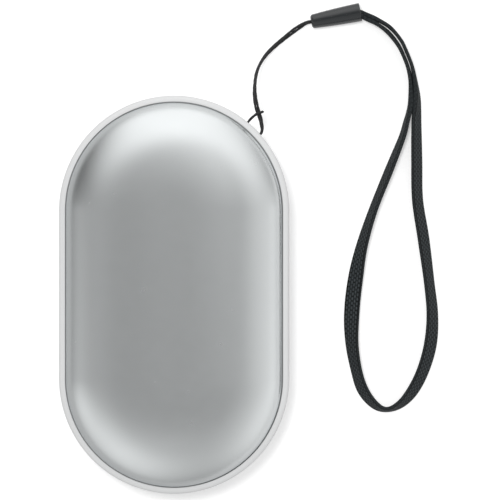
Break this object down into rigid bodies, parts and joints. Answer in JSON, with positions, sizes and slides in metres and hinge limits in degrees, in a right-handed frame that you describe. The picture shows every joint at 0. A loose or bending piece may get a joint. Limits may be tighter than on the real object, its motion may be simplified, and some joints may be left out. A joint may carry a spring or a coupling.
{
  "type": "rechargeable hand warmer",
  "caption": "Pill-shaped pocket hand warmer: crowned aluminium covers on a white plastic frame with a charging inlet, push button and lights at one end, and a woven wrist strap.",
  "frame": {"origin": "middle of the flat of the back cover, on which it lies", "axes": "+X across the width, towards the side that the strap lies on; +Y along the length, towards the end with the strap holes; +Z through the thickness, out of the front cover"},
  "size_m": [0.1015, 0.1311, 0.026],
  "materials": {
    "aluminium_shell": "bead-blasted satin",
    "white_plastic": "satin",
    "chassis_plastic": "matt",
    "seal_rubber": "matt",
    "screw_steel": "zinc plated",
    "heater_film": "polyimide film",
    "sensor_epoxy": "epoxy",
    "lead_cream": "silicone",
    "lead_grey": "silicone",
    "lead_red": "silicone",
    "lead_black": "silicone",
    "foam": "closed-cell foam",
    "pouch_foil": "laminated foil",
    "tape": "double-sided tape",
    "nickel": "nickel strip",
    "board_green": "solder mask",
    "socket_plastic": "moulded",
    "chip_black": "moulded",
    "ferrite": "sintered",
    "ceramic": "ceramic",
    "inlet_steel": "plated",
    "switch_plastic": "moulded",
    "plunger_plastic": "moulded",
    "light_body": "clear resin",
    "light_guide": "milky clear",
    "cord_black": "twisted cord",
    "bead_plastic": "satin",
    "band_black": "woven"
  },
  "bodies": {
    "root": {"front_cover": "aluminium_shell", "back_cover": "aluminium_shell", "mid_frame": "white_plastic", "front_seal": "seal_rubber", "back_seal": "seal_rubber", "chassis": "chassis_plastic", "chassis_screws": "screw_steel", "front_heater": "heater_film", "back_heater": "heater_film", "front_sensor": "sensor_epoxy", "back_sensor": "sensor_epoxy", "front_heater_leads": "lead_cream", "back_heater_leads": "lead_cream", "front_sensor_leads": "lead_grey", "back_sensor_leads": "lead_grey", "front_insulation": "foam", "back_insulation": "foam", "front_cell": "pouch_foil", "back_cell": "pouch_foil", "cell_tape": "tape", "cell_tabs": "nickel", "protection_board": "board_green", "battery_lead_red": "lead_red", "battery_lead_black": "lead_black", "main_board": "board_green", "board_screws": "screw_steel", "lead_sockets": "socket_plastic", "charger_chips": "chip_black", "boost_inductor": "ferrite", "board_capacitors": "ceramic", "heater_switches": "chip_black", "inlet_shell": "inlet_steel", "inlet_tongue": "chip_black", "switch_body": "switch_plastic", "status_lights": "light_body", "light_guide": "light_guide", "strap_cord": "cord_black", "strap_bead": "bead_plastic", "strap_band": "band_black"},
    "button": {"power_button": "white_plastic", "switch_plunger": "plunger_plastic"}
  },
  "joints": [
    {"name": "button_press", "type": "slide", "parent": "root", "child": "button", "axis": [0.4067, 0.9135, 0], "range_m": [0, 0.0003], "stiffness_N_per_m": 4000, "springref_m": -0.0001}
  ]
}
